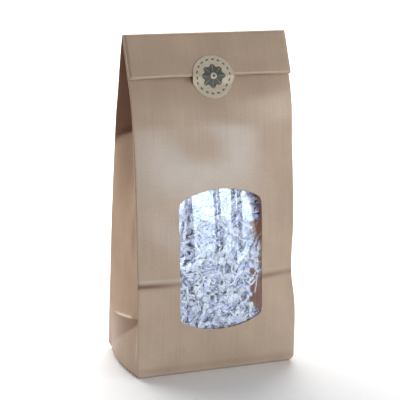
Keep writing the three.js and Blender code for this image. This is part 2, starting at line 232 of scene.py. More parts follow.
halfWidth = bag["width"] / 2
halfDepth = bag["depth"] / 2
stack = 3 * bag["layerPitch"]
foldRadius = bag["foldInside"] + stack / 2
foldStart = bag["height"] - foldRadius - stack / 2 - bag["paper"] / 2


def crown(x):
    # a parabola over the width, 1 in the middle and 0 at the side edges
    return 1 - np.clip(x / halfWidth, -1, 1) ** 2


def bodyDepth(z):
    # narrows by a power curve to the shoulder, then in a straight wedge to the fold, with a soft turn
    rise = np.clip(z, 0, None) / bag["shoulder"]
    belly = mix(bag["depth"], bag["shoulderDepth"], rise ** bag["bellyCurve"])
    wedge = mix(bag["shoulderDepth"], stack, (z - bag["shoulder"]) / (foldStart - bag["shoulder"]))
    share = np.clip(0.5 + 0.5 * (wedge - belly) / bag["shoulderTurn"], 0, 1)
    soft = mix(wedge, belly, share) - bag["shoulderTurn"] * share * (1 - share)
    return np.where(z >= foldStart, stack, np.maximum(soft, stack))


def middleY(z):
    # the plane between front and back: smooth steps forward under the crease and back above the shoulder
    back = bag["foldSetBack"] * smooth(z, bag["shoulder"], foldStart)
    return back - bag["bellyForward"] * smooth(z, 0, bag["crease"])


def baseInset(z):
    # the walls draw in at the base by a parabola over the rounding's height
    return bag["baseRound"] * np.clip(1 - z / bag["baseRoundHeight"], 0, None) ** 2


def bulgeAt(z):
    # share of the filling's swell: a smooth rise up to the crease and a smooth fall above the shoulder
    return smooth(z, 0, bag["crease"]) * (1 - smooth(z, bag["shoulder"], foldStart))


def creaseAt(z):
    # a straight-sided ridge, 1 on the crease and 0 at its reach above and below
    return np.clip(1 - np.abs(z - bag["crease"]) / bag["creaseReach"], 0, 1)


def rightward(x):
    # 0 up to a third of the way to the right edge, then a smooth rise to 1
    return smooth(x, halfWidth / 3, halfWidth)


def pinch(x, z):
    # a bell in height about the crease, at the right edge only
    return rightward(x) * bell(z - bag["crease"], bag["pinchReach"])


def drawnIn(x, z):
    # the right front edge is pinched in at the crease and stays a little slack above it
    rise = smooth(z, bag["crease"], bag["crease"] + bag["slackRise"])
    fade = smooth(z, bag["shoulder"] - bag["slackFade"], bag["shoulder"] + bag["slackFade"])
    return bag["pinchIn"] * pinch(x, z) + bag["slack"] * rightward(x) * rise * (1 - fade)


def unevenness(x, z, seed):
    # soft waves of handled paper, gone at the base, at the side edges and below the top fold
    belowFold = 1 - smooth(z, foldStart - bag["waveEnd"], foldStart)
    fade = smooth(z, *bag["waveStart"]) * belowFold * crown(x) ** 0.5
    return bag["waviness"] * fade * waves(x, z, seed, bag["waveCount"], bag["waveLengths"])


def frontPoint(x, z):
    # half the depth in front of the middle plane, swollen by a parabola over the width, less the crease, and
    # pushed back by the pinch at the right edge and by a bell-shaped dent under the label
    wall = middleY(z) - bodyDepth(z) / 2 + baseInset(z) - bag["frontBulge"] * bulgeAt(z) * crown(x)
    crease = bag["creaseOut"] * creaseAt(z) * mix(bag["creaseMiddle"], 1, (x / halfWidth) ** 2)
    dent = bag["dent"] * bell(x - bag["dentMiddle"], bag["dentReach"])
    dent = dent * smooth(z, *bag["dentStart"]) * (1 - smooth(z, *bag["dentEnd"]))
    y = wall - crease + bag["pinchBack"] * pinch(x, z) + dent + unevenness(x, z, bag["frontSeed"])
    return x * (1 - baseInset(z) / halfWidth) - drawnIn(x, z), y


def backPoint(x, z):
    # half the depth behind the middle plane, swollen in the same way, with a step of one layer at the seam
    y = middleY(z) + bodyDepth(z) / 2 - baseInset(z) + bag["backBulge"] * bulgeAt(z) * crown(x)
    onSeam = np.abs(x - bag["seam"]) <= bag["seamWidth"] / 2
    step = onSeam * bag["paper"] * (1 - smooth(z, *bag["seamFade"]))
    return x * (1 - baseInset(z) / halfWidth), y + unevenness(x, z, bag["backSeed"]) + step


def buckleLine(share):
    # a straight slant over the gusset, share being 0 at its front edge and 1 at its back edge
    return mix(bag["buckleFront"], bag["buckleBack"], share)


def gussetFold(share, z):
    # a full fold keeps the paper's length; below the slanted buckle it is shallow and set forward
    full = np.sqrt(np.clip(halfDepth ** 2 - (bodyDepth(z) / 2) ** 2, 0, None))
    buckle = buckleLine(share)
    folded = smooth(z, buckle - bag["buckleReach"], buckle + bag["buckleReach"])
    nearer = bag["shallowShare"]
    across = np.where(share < nearer, share / nearer, (1 - share) / (1 - nearer))
    shallow = bag["shallowDepth"] * smooth(across, 0, 1) * smooth(z, bag["shallowBottom"], bag["buckleBack"])
    return full * mix(shallow, 1 - np.abs(2 * share - 1), folded)


def tuckLines(share):
    # a ridge that falls a little to the back, over a valley that runs down to the back corner
    ridge = bag["tuck"] - bag["tuckFall"] * share
    return ridge, bag["tuck"] * bag["valleyShare"] * (1 - share)


def tuckIn(share, z):
    # straight slopes up and down from the valley, half as deep at the back, under a bell-shaped lip
    ridge, valley = tuckLines(share)
    above = (ridge - z) / (ridge - valley)
    below = z / np.maximum(valley, 1)  # the valley ends in the corner, and nothing is divided by zero
    lip = bag["lip"] * bell(z - ridge - bag["lipRise"], bag["lipReach"])
    lip = lip * (1 - smooth(share, *bag["lipFade"]))
    fade = smooth(np.minimum(share, 1 - share), 0, bag["tuckStart"])
    return fade * (bag["tuckDepth"] * (1 - share / 2) * np.clip(np.minimum(above, below), 0, 1) - lip)


def gussetPoint(side, share, z):
    # the front half of the gusset runs straight back to the middle fold and the back half on from there,
    # a layer's pitch apart; both are moved in by the folds and out by a parabola near the base
    pitch = bag["layerPitch"]
    start = frontPoint(np.full_like(z, side * halfWidth), z)[1]
    end = backPoint(np.full_like(z, side * halfWidth), z)[1]
    middle = (start + end) / 2
    nearHalf = mix(start + pitch, middle - pitch / 2, np.clip(share * 2, 0, 1))
    farHalf = mix(middle + pitch / 2, end - pitch, np.clip(share * 2 - 1, 0, 1))
    bulge = bag["sideBulge"] * (1 - smooth(z, 0, bag["sideBulgeTop"])) * 4 * share * (1 - share)
    inward = gussetFold(share, z) + tuckIn(share, z) + baseInset(z)
    if side > 0:
        inward = inward + drawnIn(halfWidth, z) * (1 - share)
    return side * (halfWidth - inward + bulge), np.where(share < 0.5, nearHalf, farHalf)


# the flap leans as the front wall does between the shoulder and the fold, and springs off it a little
wallLean = math.atan2(
    float((middleY(foldStart) - stack / 2) - (middleY(bag["shoulder"]) - bag["shoulderDepth"] / 2)),
    foldStart - bag["shoulder"],
)
flapLean = wallLean + math.radians(bag["flapSpring"])
foldTurn = math.pi - flapLean


def placeStack(x, y, z, turn, down):
    # rises, turns about the fold's axis in front of the stack, and runs down the flap
    axisY = middleY(foldStart) - foldRadius
    bow = bag["frontBulge"] * bulgeAt(foldStart - down * math.cos(flapLean)) * crown(x) * (down > 0)
    uneven = waves(x, down, bag["flapSeed"], bag["flapWaveCount"], bag["flapWaveLengths"])
    lift = bag["flapWaviness"] * uneven * smooth(down, *bag["flapWaveStart"]) * crown(x)
    out = y - axisY + bow + lift
    folded = turn > 0
    return (
        x,
        np.where(folded, axisY + out * np.cos(turn) - down * np.sin(turn), y),
        np.where(folded, foldStart + out * np.sin(turn) + down * np.cos(turn), z) + bag["lap"],
    )


# How finely the paper is divided, closer where it bends sharply: stretches by start and number of steps

division = dict(
    rows=[
        (0, 6), (bag["baseRoundHeight"], 14), (28, 27), (50, 6), (60, 20),
        (80, 29), (150, 30), (186, 5), (192, 21),
    ],
    fold=10, flap=18,
    front=[(-halfWidth, 4), (4 - halfWidth, 73), (halfWidth - 4, 4)],
    gusset=[(0, 3), (0.06, 15)], gussetMiddle=0.49999,  # shares of its width, just short of the middle fold
    back=(12, 8, 32),  # points before, over and after the seam
    base=(0.97, 0.85, 0.6, 0.3),  # sizes of the rings that close it
)


def sheetPath():
    # the way of each row up the wall, round the fold and down the flap, as its height, turn and way down
    z = stretches(division["rows"], foldStart)
    turns = np.linspace(0, 1, division["fold"] + 1)[1:] * foldTurn
    downs = np.linspace(0, bag["flap"], division["flap"] + 1)[1:]
    height = np.concatenate([z, np.full(len(turns) + len(downs), foldStart)])
    turn = np.concatenate([np.zeros(len(z)), turns, np.full(len(downs), foldTurn)])
    down = np.concatenate([np.zeros(len(z) + len(turns)), downs])
    return height, turn, down


def windowRadius(angle):
    # distance from the window's middle to its outline in a direction, from the outline's own points:
    # straight sides, corners as quadratic curves, and a circular arc at the top and the bottom
    half, rise, corner = window["width"] / 2, window["rise"], window["corner"]
    side = window["side"] / 2
    radius = (half ** 2 + rise ** 2) / (2 * rise)
    sweep = math.asin(half / radius) - corner / radius
    a = np.linspace(sweep, -sweep, window["sidePoints"])
    top = np.stack([radius * np.sin(a), side + radius * np.cos(a) - radius + rise], 1)
    t = np.linspace(0, 1, window["cornerPoints"])[:, None]
    rightCorner = (1 - t) ** 2 * [half, side - corner] + 2 * t * (1 - t) * [half, side] + t ** 2 * top[0]
    up = np.linspace(0, side - corner, window["sidePoints"])
    right = np.concatenate([np.stack([np.full(len(up), half), up], 1)[:-1], rightCorner[:-1]])
    upper = np.concatenate([right, top, right[::-1] * [-1, 1]])
    ring = np.concatenate([upper, (upper * [1, -1])[::-1]])
    around = np.unwrap(np.arctan2(ring[:, 1], ring[:, 0]))
    order = np.argsort(around)
    return np.interp(np.mod(angle, 2 * math.pi), around[order], np.hypot(ring[:, 0], ring[:, 1])[order])


# Painted light and shade on the paper: below 0 painted shade in deep folds, under the crease and under the
# tuck's ridge, above 0 a painted highlight over the crease, on the base's roll and along the ridge. A line
# has a strength, a height over the crease, the base or the tuck's ridge, and a half width. The dark line
# under the crease takes its strength from leftDark and rightDark, in the middle and at the edge. The
# gussets' sheen is gloss.

paintedShadingLook = dict(
    creasePale=(0.08, 1.6, 0.8), creaseDark=(-1.8, 1.9),
    leftDark=(0.4, 1), leftFrom=(26, 56), rightDark=(0.75, 0.5), rightFrom=(34, 60),
    basePale=(0.16, 2.2, 1.3), baseDark=(0.14, 5.6, 1.8), lowPale=0.07, lowFade=(20, 60),
    tuckDark=0.6, tuckTop=(-0.3, 0.6), tuckFoot=(-0.6, 0.8), tuckFall=1.5,
    ridgePale=(1, 0.7, 1.0), ridgeStart=(0.08, 0.16), ridgeEnd=(0.42, 0.66),
    deep=0.74, deepSlant=6, deepBelow=5, deepAbove=8, deepStart=(0.02, 0.13),
    fold=0.38, foldPlace=0.12, foldReach=0.09, foldStart=(76, 104),
    gussetSheen=(0.45, 0.06), gussetSheenFade=(10, 45),
)


def paintedLine(z, line):
    strength, height, reach = line
    return strength * bell(z - height, reach)


def frontPaintedShading(x, z):
    # a painted highlight over the crease and painted shade under it, darkest at the left edge; the base has
    # a painted highlight on its roll under a line of painted shade, and the paper is a little paler low down
    look = paintedShadingLook
    left = mix(*look["leftDark"], smooth(-x, *look["leftFrom"]))
    right = mix(*look["rightDark"], smooth(x, *look["rightFrom"]))
    under = paintedLine(z - bag["crease"], (np.where(x < 0, left, right), *look["creaseDark"]))
    crease = paintedLine(z - bag["crease"], look["creasePale"]) - under
    base = paintedLine(z, look["basePale"]) - paintedLine(z, look["baseDark"])
    return crease + base + look["lowPale"] * (1 - smooth(z, *look["lowFade"]))


def gussetPaintedShading(share, z):
    # painted shade under the tuck's ridge and inside the folds, with a painted highlight along the ridge
    look = paintedShadingLook
    ridge, valley = tuckLines(share)
    under = smooth(ridge - z, *look["tuckTop"]) * smooth(z - valley, *look["tuckFoot"])
    pale = paintedLine(z - ridge, look["ridgePale"])
    pale = pale * smooth(share, *look["ridgeStart"]) * (1 - smooth(share, *look["ridgeEnd"]))
    buckle = buckleLine(share)
    inFold = smooth(z + look["deepSlant"] * share, buckle - look["deepBelow"], buckle + look["deepAbove"])
    deep = look["deep"] * inFold * smooth(share, *look["deepStart"])
    fold = look["fold"] * bell(share - look["foldPlace"], look["foldReach"]) * smooth(z, *look["foldStart"])
    return pale - look["tuckDark"] * under * (1 - share) ** look["tuckFall"] - deep - fold * (1 - deep)


# The bag: one sheet, as a closed loop of columns swept up the bag, over the fold and down the flap

def sheetGrid():
    # front, right gusset, back and left gusset side by side, with paper coordinates, painted light and
    # shade, and sheen
    height, turn, down = sheetPath()
    z = height[:, None]
    low, high = bag["seam"] - bag["seamWidth"] / 2, bag["seam"] + bag["seamWidth"] / 2
    toSeam, overSeam, fromSeam = division["back"]
    frontX = stretches(division["front"], halfWidth)
    backX = np.concatenate([
        np.linspace(halfWidth, high + bag["seamStep"], toSeam),
        np.linspace(high, low, overSeam),
        np.linspace(low - bag["seamStep"], -halfWidth, fromSeam),
    ])
    toMiddle = stretches(division["gusset"], division["gussetMiddle"])
    shares = np.concatenate([toMiddle, 1 - toMiddle[::-1]])
    gussetZ = np.broadcast_to(z, (len(height), len(shares)))
    walls = [
        frontPoint(frontX[None, :], z),
        gussetPoint(1, shares[None, :], gussetZ),
        backPoint(backX[None, :], z),
        gussetPoint(-1, shares[None, ::-1], gussetZ),
    ]
    x, y = (np.concatenate([wall[k] for wall in walls], 1) for k in (0, 1))
    points = np.stack(placeStack(x, y, np.broadcast_to(z, x.shape), turn[:, None], down[:, None]), -1)

    # paper coordinates run round the bag, and along it from the base to the flap's edge
    rightEdge, backEdge = halfWidth + bag["depth"], halfWidth + bag["depth"] + bag["width"]
    around = np.concatenate([
        frontX, halfWidth + shares * bag["depth"],
        rightEdge + halfWidth - backX, backEdge + shares * bag["depth"],
    ])
    along = height + turn * foldRadius + down
    uv = np.stack(np.broadcast_arrays(around[None, :], along[:, None]), -1)

    # the back and the flap get no painted light or shade, and the gussets have hardly any sheen
    onWall = (turn == 0)[:, None]
    side = gussetPaintedShading(shares[None, :], z) * onWall
    plainBack = np.zeros((len(height), len(backX)))
    paintedShading = np.concatenate([frontPaintedShading(frontX[None, :], z) * onWall, side, plainBack, side[:, ::-1]], 1)
    dull = mix(*paintedShadingLook["gussetSheen"], smooth(gussetZ, *paintedShadingLook["gussetSheenFade"]))
    sheen = np.concatenate([np.ones((len(height), len(frontX))), dull, 1 + plainBack, dull], 1)
    return height, len(frontX), points, uv, paintedShading, sheen


def windowRings(height, frontCount, uv):
    # inside a border of rows and columns the grid gives way to rings that shrink from it to the outline:
    # each point moves straight towards the window's middle, by an eased share of the way
    columns = uv.shape[1]
    low, high = window["patch"]
    patchRows = np.flatnonzero((height > low) & (height < high))
    firstRow, lastRow = patchRows[0], patchRows[-1]
    firstCol, lastCol = window["patchEdge"], frontCount - 1 - window["patchEdge"]
    border = np.concatenate([
        firstRow * columns + np.arange(firstCol, lastCol),
        np.arange(firstRow, lastRow) * columns + lastCol,
        lastRow * columns + np.arange(lastCol, firstCol, -1),
        np.arange(lastRow, firstRow, -1) * columns + firstCol,
    ])
    borderX, borderZ = (uv.reshape(-1, 2)[border] - [window["shift"], window["middle"]]).T
    angle = np.arctan2(borderZ, borderX)
    cut = windowRadius(angle)
    share = np.linspace(1, 0, window["rings"] + 1)[1:, None] ** window["ringEase"]
    ringX = mix(cut * np.cos(angle), borderX, share) + window["shift"]
    ringZ = mix(cut * np.sin(angle), borderZ, share) + window["middle"]

    # which of the grid's faces stay
    row, column = np.divmod(np.arange((len(height) - 1) * columns), columns)
    inside = (row >= firstRow) & (row < lastRow) & (column >= firstCol) & (column < lastCol)
    return border, ringX, ringZ, ~inside


def makeBag():
    height, frontCount, points, uv, paintedShading, sheen = sheetGrid()
    border, ringX, ringZ, kept = windowRings(height, frontCount, uv)
    columns = points.shape[1]
    sheet = points.reshape(-1, 3)
    x, y = frontPoint(ringX, ringZ)
    windowPoints = np.stack([x, y, ringZ + bag["lap"]], -1).reshape(-1, 3)
    windowIndex = len(sheet) + np.arange(ringX.size).reshape(ringX.shape)

    # the base: rings that shrink to a point
    shrink = division["base"]
    basePoints = np.concatenate([points[0] * [k, k, 1] for k in shrink])
    baseStart = len(sheet) + len(windowPoints)
    baseIndex = np.arange(columns * (len(shrink) + 1)).reshape(-1, columns)
    baseIndex[1:] += baseStart - columns
    middle = baseStart + len(basePoints)

    parts = [
        gridFaces(len(height), columns, closed=True)[kept],
        ringFaces(np.concatenate([border[None, :], windowIndex])),
        ringFaces(baseIndex, flip=True),
        fanFaces(baseIndex[-1], middle, flip=True),
    ]
    allPoints = np.concatenate([sheet, windowPoints, basePoints, [[0, 0, bag["lap"]]]])
    windowUv = np.stack([ringX, ringZ], -1).reshape(-1, 2)
    allUv = np.concatenate([uv.reshape(-1, 2), windowUv, basePoints[:, :2], [[0, 0]]])
    baseCount = len(basePoints) + 1
    # the window's rings take the front's painted highlights and painted shade
    allPaintedShading = np.concatenate([paintedShading.ravel(), frontPaintedShading(ringX, ringZ).ravel(), np.zeros(baseCount)])
    allSheen = np.concatenate([sheen.ravel(), np.ones(ringX.size + baseCount)])

    # the grid's points inside the window are in no face, so they go and the others are numbered anew
    used, renumbered = np.unique(np.concatenate([part.ravel() for part in parts]), return_inverse=True)
    ends = np.cumsum([part.size for part in parts])[:-1]
    faces = [
        face
        for part, numbers in zip(parts, np.split(renumbered.ravel(), ends))
        for face in numbers.reshape(part.shape).tolist()
    ]
    piece = addMesh("kraftBag", allPoints[used], faces, allUv[used])
    addValues(piece, "paintedShading", allPaintedShading[used])
    addValues(piece, "sheen", allSheen[used])
    piece.data.materials.append(kraftMaterial())
    piece.data.materials.append(insideMaterial())
    addWall(piece, bag["paper"]).material_offset = 1
    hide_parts("kraft_bag")
    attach(piece, "root")
    print("bag:", len(used), "points")


baseLap = dict(depth=42, corner=14, inset=2.8, gap=0.02)


def makeBaseLap():
    # a flat trapezoid under the base, with a rim as thick as the paper
    half, back = halfWidth - baseLap["inset"], halfDepth - baseLap["inset"]
    front, short = back - baseLap["depth"], half - baseLap["corner"]
    outline = np.array([[-half, back], [-short, front], [short, front], [half, back]])
    under = np.column_stack([outline, np.zeros(4)])
    upper = np.column_stack([outline, np.full(4, bag["lap"] - baseLap["gap"])])
    faces = [[3, 2, 1, 0], [4, 5, 6, 7]] + [[i, (i + 1) % 4, 4 + (i + 1) % 4, 4 + i] for i in range(4)]
    points, uv = np.concatenate([under, upper]), np.concatenate([outline, outline])
    piece = addMesh("baseLap", points, faces, uv, smoothShade=False)
    piece.data.materials.append(kraftMaterial())
    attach(piece, "root")
    print("base lap made")


# Kraft paper: pairs of stops are a place in the noise and a colour, and the ribs run up the bag

kraftLook = dict(
    cloudScale=(45, 30, 1), cloudTone=[(0.35, (0.409, 0.285, 0.199)), (0.65, (0.455, 0.321, 0.227))],
    ribScale=(1500, 14, 1), ribTone=[(0.3, (0.88, 0.87, 0.87)), (0.7, (1.08, 1.08, 1.07))], ribs=0.45,
    fibreScale=(1900, 700, 1), fibreTone=[(0.3, (0.84, 0.83, 0.82)), (0.72, (1.1, 1.1, 1.11))], fibres=0.8,
    pale=(2.0, 2.3, 2.7), deep=(0.36, 0.21, 0.18),  # the paper is multiplied by these for painted highlights and painted shade
    roughness=0.6, specular=0.5, gloss=0.6, glossRoughness=0.19,
    patchScale=(1100, 700, 1), patchRange=(0.35, 0.65), patchGloss=(0.35, 1.65),
    bump=0.22, bumpHeight=0.00025, bumpFibres=0.6,
)
insideLook = dict(
    cloudScale=(160, 60, 1), cloudTone=[(0.3, (0.50, 0.29, 0.19)), (0.7, (0.66, 0.40, 0.27))], roughness=0.7,
    paintedGlow=(0.52, 0.3, 0.23), paintedGlowStrength=0.16,  # painted glow: the inside gives off a little light, standing in for light through the paper
)


def kraftMaterial():
    if "kraftPaper" in bpy.data.materials:
        return bpy.data.materials["kraftPaper"]
    look = kraftLook
    material, tree = newMaterial("kraftPaper")
    paper = addNode(tree, "UVMap", uv_map="paperUV").outputs[0]
    ribs = noise(tree, paper, look["ribScale"], 2)
    fibre = noise(tree, paper, look["fibreScale"], 3, 0.7)
    tone = ramp(tree, noise(tree, paper, look["cloudScale"], 3), look["cloudTone"])
    tone = mixColour(tree, tone, ramp(tree, ribs, look["ribTone"]), look["ribs"], "MULTIPLY")
    tone = mixColour(tree, tone, ramp(tree, fibre, look["fibreTone"]), look["fibres"], "MULTIPLY")
    # painted light and shade from the bag's attribute: highlights towards pale, shade towards deep
    paintedShading = attribute(tree, "paintedShading")
    tone = mixColour(tree, tone, look["pale"], multiply(tree, paintedShading, 1, clamp=True), "MULTIPLY")
    tone = mixColour(tree, tone, look["deep"], multiply(tree, paintedShading, -1, clamp=True), "MULTIPLY")
    # the gloss is grainy, as the paper has open and closed patches
    sheen = attribute(tree, "sheen")
    patches = noise(tree, paper, look["patchScale"], 3, 0.7)
    grain = remap(tree, patches, look["patchRange"], look["patchGloss"])
    relief = {
        "Strength": look["bump"], "Distance": look["bumpHeight"],
        "Height": mixColour(tree, ribs, fibre, look["bumpFibres"]),
    }
    normal = addNode(tree, "Bump", relief).outputs[0]
    setSurface(tree, "BsdfPrincipled", {
        "Base Color": tone,
        "Roughness": look["roughness"],
        "Specular IOR Level": multiply(tree, sheen, look["specular"], clamp=True),
        "Coat Weight": multiply(tree, multiply(tree, sheen, look["gloss"], clamp=True), grain),
        "Coat Roughness": look["glossRoughness"],
        "Normal": normal,
        "Coat Normal": normal,
    })
    return material


def insideMaterial():
    look = insideLook
    material, tree = newMaterial("kraftInside")
    paper = addNode(tree, "UVMap", uv_map="paperUV").outputs[0]
    setSurface(tree, "BsdfPrincipled", {
        "Base Color": ramp(tree, noise(tree, paper, look["cloudScale"], 3), look["cloudTone"]),
        "Roughness": look["roughness"],
        # painted glow of the inside, in place of light that comes through the paper
        "Emission Color": look["paintedGlow"],
        "Emission Strength": look["paintedGlowStrength"],
    })
    return material


# The film: a clear patch behind the window, with upright ripples that catch the light

film = dict(
    behind=0.6, nearest=0.25, inset=0.6, columns=240, rows=110,
    lean=0.05, leanFrom=80, leanEnd=(136, 141), creaseShare=0.7,
    looseness=0.1, looseSeed=12, looseCount=7, looseLengths=(9, 24), looseStretch=0.5,
    tighter=0.7, tightStart=(85, 115),  # the loose waves are lower towards the top, by this share
    tint=(0.97, 0.98, 1), shine=0.068, roughness=0.12,
    steep=0.27, grooveTop=132, grooveUnit=30, grooveEnd=1.7, grooveRound=0.05, grooveFade=(74, 92),
    # each groove between the flat stretches that shine: x at the groove's top, its shift for each unit down,
    # its half width at the top and its half width one unit down
    grooves=[(-21.3, -3.0, 1.7, 5.4), (-1.2, 0.8, 2.3, 2.6), (14.0, -0.3, 4.0, 4.6), (31.5, 3.4, 10.2, 6.0)],
)


def filmDepth(x, z):
    # how far the film lies behind the middle of the wall: grooves with straight flanks and a round bottom,
    # a lean towards the window's top, the wall's crease and loose waves, but never nearer than it may be
    down = np.clip((film["grooveTop"] - z) / film["grooveUnit"], 0, film["grooveEnd"])
    across = 0
    for place, shift, wide, lower in film["grooves"]:
        away = np.sqrt((x - place - shift * down) ** 2 + film["grooveRound"])
        across = across + film["steep"] * np.clip(mix(wide, lower, down) - away, 0, None)
    lean = film["lean"] * np.clip(z - film["leanFrom"], 0, None) * (1 - smooth(z, *film["leanEnd"]))
    crease = bag["creaseOut"] * creaseAt(z) * film["creaseShare"]
    looseZ = z * film["looseStretch"]
    loose = film["looseness"] * waves(x, looseZ, film["looseSeed"], film["looseCount"], film["looseLengths"])
    loose = loose * (1 - film["tighter"] * smooth(z, *film["tightStart"]))
    depth = film["behind"] + across * smooth(z, *film["grooveFade"]) + lean + crease + loose
    return np.maximum(depth, film["nearest"])


def makeFilm():
    half = window["width"] / 2 + window["margin"] - film["inset"]
    tall = window["side"] / 2 + window["rise"] + window["margin"] - film["inset"]
    x = np.linspace(-half, half, film["columns"])[None, :] + window["shift"]
    z = np.linspace(-tall, tall, film["rows"])[:, None] + window["middle"]
    wallX, wallY = frontPoint(x, z)
    points = np.stack([wallX, wallY + filmDepth(x, z), np.broadcast_to(z, wallX.shape) + bag["lap"]], -1)
    piece = addMesh("windowFilm", points.reshape(-1, 3), gridFaces(film["rows"], film["columns"]).tolist())
    material, tree = newMaterial("clearFilm")
    clear = addNode(tree, "BsdfTransparent", {"Color": film["tint"]}).outputs[0]
    gloss = addNode(tree, "BsdfGlossy", {"Color": (1, 1, 1), "Roughness": film["roughness"]}).outputs[0]
    setSurface(tree, "MixShader", {0: film["shine"], 1: clear, 2: gloss})
    piece.data.materials.append(material)
    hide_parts("window_film")
    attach(piece, "root")
    print("film:", film["rows"] * film["columns"], "points")


# The shredded paper: thin crinkled strips behind the film, over a lumpy packed middle

shreds = dict(
    count=1350, segments=7, seed=7, length=(6, 18), thickness=0.14,
    narrow=(0.7, 2.0), wide=(2.8, 5.6), wideShare=0.42, wideLength=0.7,
    nearest=0.5, deepest=6, crowding=0.8, beyondSide=4, beyondTop=5, clearRight=4,
    curl=0.5, kink=0.45, kinkPlace=0.3, twist=0.7, tilt=0.4,
    crinkle=(0.3, 1.4), crinkleTurn=(5, 22), crinkleStart=6,
    sideClear=8, bottom=3, top=165, behindFilm=(0.35, 30),
    bare=[(29, 56, 6, 15), (27, 104, 5, 9), (-28, 76, 5, 8)],  # ellipses with no strips: x, z and half axes
    dark=(0.70, 0.75, 1.0), light=(0.87, 0.92, 1.0),
)
shredLook = dict(cloudScale=(140, 140, 140), darkPlace=0.25, lightPlace=0.7, roughness=0.7)


def bentStrips(draw):
    # each strip's heading turns evenly by its curl, with one kink, and its points follow the headings' sum;
    # its depth crinkles as a sine, and its width turns about it by a twist
    count, rows = shreds["count"], shreds["segments"] + 1
    one = (count, 1)
    halfX = window["width"] / 2 + shreds["beyondSide"]
    halfZ = window["side"] / 2 + window["rise"] + shreds["beyondTop"]
    place = draw.random(one) ** shreds["crowding"]
    middleX = window["shift"] + draw.uniform(-halfX, halfX - shreds["clearRight"], one)
    middleZ = window["middle"] + draw.uniform(-halfZ, halfZ, one)
    depth = mix(shreds["nearest"], shreds["deepest"], place)
    heading = draw.uniform(0, math.pi, one)
    curl = draw.normal(0, shreds["curl"], one)
    kink = draw.normal(0, shreds["kink"], one)
    kinkPlace = draw.uniform(-shreds["kinkPlace"], shreds["kinkPlace"], one)
    length = draw.uniform(*shreds["length"], one)
    isWide = draw.random(one) < shreds["wideShare"]
    width = np.where(isWide, draw.uniform(*shreds["wide"], one), draw.uniform(*shreds["narrow"], one))
    length = np.where(isWide, length * shreds["wideLength"], length)
    t = np.linspace(-0.5, 0.5, rows)[None, :]
    angle = heading + curl * t * 2 + kink * np.sign(t - kinkPlace)
    step = length / (rows - 1)
    x = middleX + np.cumsum(np.cos(angle), 1) * step - np.cos(heading) * length / 2
    z = middleZ + np.cumsum(np.sin(angle), 1) * step - np.sin(heading) * length / 2
    crinkle = draw.uniform(*shreds["crinkle"], one)
    crinkleAngle = t * draw.uniform(*shreds["crinkleTurn"], one)
    crinkleAngle = crinkleAngle + draw.uniform(0, shreds["crinkleStart"], one)
    y = depth + crinkle * np.sin(crinkleAngle)
    twist = draw.normal(0, shreds["twist"], one) * t * 2 + draw.normal(0, shreds["tilt"], one)
    sideways = -np.sin(angle) * np.cos(twist), np.sin(twist), np.cos(angle) * np.cos(twist)
    corners = []
    for side, thick in ((1, 0), (-1, 0), (-1, 1), (1, 1)):
        away = side * width / 2
        thickness = (0, thick * shreds["thickness"], 0)
        corners.append(np.stack([
            middle + over * away + more for middle, over, more in zip((x, y, z), sideways, thickness)
        ], -1))
    return middleX[:, 0], middleZ[:, 0], np.stack(corners, 2)


def makeShreds():
    draw = np.random.default_rng(shreds["seed"])
    middleX, middleZ, points = bentStrips(draw)
    x = np.clip(points[..., 0], -halfWidth + shreds["sideClear"], halfWidth - shreds["sideClear"])
    z = np.clip(points[..., 2], shreds["bottom"], shreds["top"])
    y = frontPoint(x, z)[1] + filmDepth(x, z) + np.clip(points[..., 1], *shreds["behindFilm"])
    kept = np.ones(shreds["count"], dtype=bool)
    for patchX, patchZ, halfX, halfZ in shreds["bare"]:
        kept &= ((middleX - patchX) / halfX) ** 2 + ((middleZ - patchZ) / halfZ) ** 2 > 1
    points = np.stack([x, y, z + bag["lap"]], -1)[kept].reshape(-1, 3)

    # four corners to a row, eight rows to a strip, and a cap at each end
    corners = 4 * (shreds["segments"] + 1)
    caps = np.array([[3, 2, 1, 0], [corners - 4, corners - 3, corners - 2, corners - 1]])
    strip = np.concatenate([gridFaces(shreds["segments"] + 1, 4, closed=True), caps])
    faces = (strip[None] + (np.arange(kept.sum()) * corners)[:, None, None]).reshape(-1, 4)
    piece = addMesh("shreddedPaper", points, faces.tolist())
    addValues(piece, "tone", np.repeat(draw.random(shreds["count"])[kept], corners))
    piece.data.materials.append(shredMaterial("whiteShred", shreds, "tone"))
    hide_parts("shredded_paper")
    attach(piece, "root")
    print("shreds:", kept.sum(), "strips")


packed = dict(
    bottom=1.5, side=158, top=160, peak=161, rows=60, topRows=6, topShrink=(0.96, 0.1), columns=40,
    sideClear=12, frontRight=0.54, backRight=0.88,  # narrower on the right, where the bag's inside is seen
    frontClear=7.6, frontLump=1.8, backClear=7, backLump=1.5,
    lumpCount=14, lumpLengths=(7, 26), lumpSpread=50, seed=21,
    # darker colours than the strips': painted shade of the pile's depth
    dark=(0.58, 0.57, 0.76), light=(0.76, 0.78, 0.97),
)


